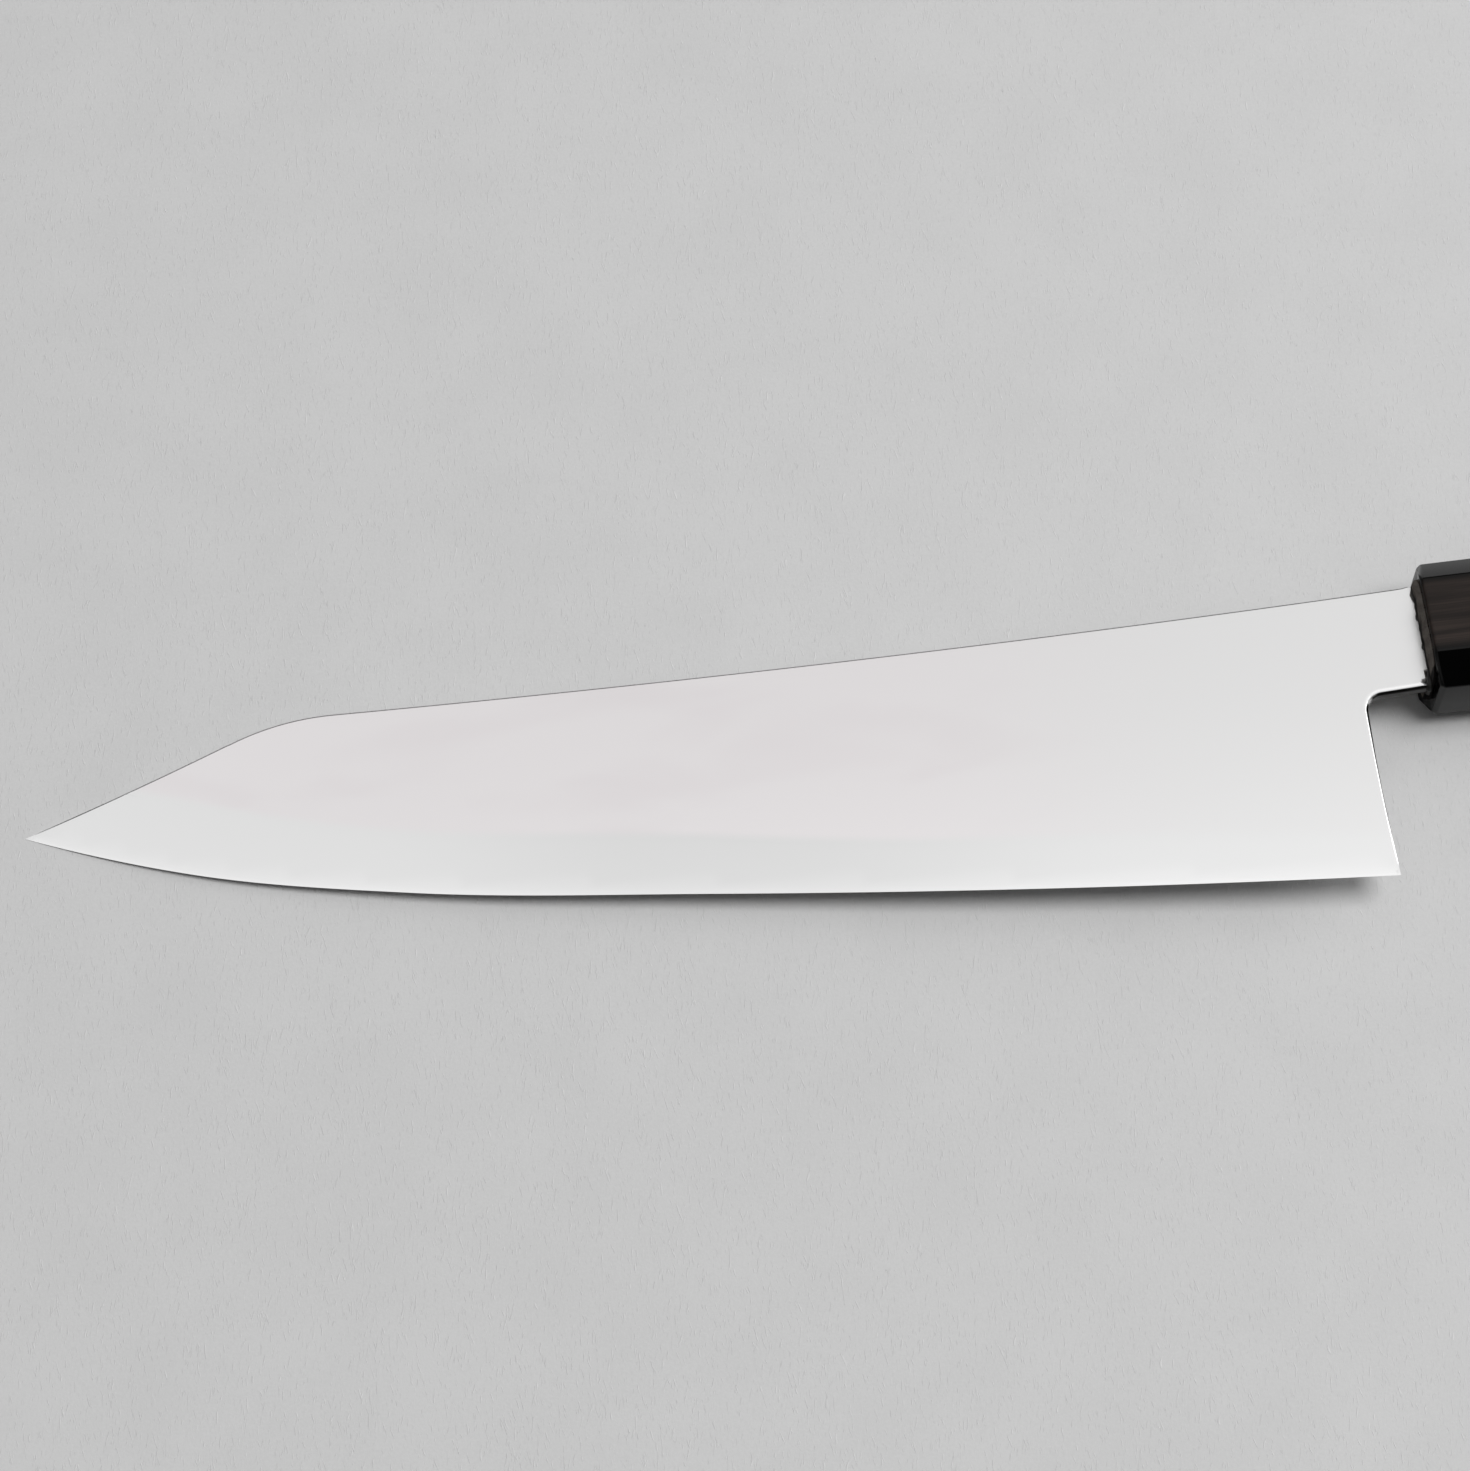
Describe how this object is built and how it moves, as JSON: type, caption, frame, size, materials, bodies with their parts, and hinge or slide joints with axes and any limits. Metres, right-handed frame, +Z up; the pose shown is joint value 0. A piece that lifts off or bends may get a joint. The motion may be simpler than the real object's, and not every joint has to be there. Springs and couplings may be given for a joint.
{
  "type": "kiritsuke knife",
  "caption": "Kitchen knife with a tall laminated blade, a nearly straight edge and an angled tip, held by its tang in a tapered octagonal wooden handle with a horn ferrule.",
  "frame": {"origin": "middle of the underside of the knife's box, as it lies on its right face", "axes": "+X from the tip to the butt along the handle, +Y from the cutting edge to the spine, +Z up out of the blade's left face"},
  "size_m": [0.35, 0.0498, 0.021],
  "materials": {
    "core_steel": "hard steel, finely ground to a bright satin",
    "cladding_steel": "stainless steel, polished to a soft satin mirror",
    "horn": "black horn with faint brown streaks, polished",
    "handle_wood": "dark close grained hardwood, oiled and burnished",
    "dowel_wood": "plain wood, end grain darkened by the hot tang",
    "resin": "set adhesive",
    "seal": "dark sealing bead, slightly uneven"
  },
  "bodies": {
    "root": {"core_steel": "core_steel", "cladding_left": "cladding_steel", "cladding_right": "cladding_steel", "ferrule": "horn", "handle_body": "handle_wood", "tang_dowel": "dowel_wood", "tang_resin": "resin", "neck_seal": "seal"}
  },
  "joints": []
}
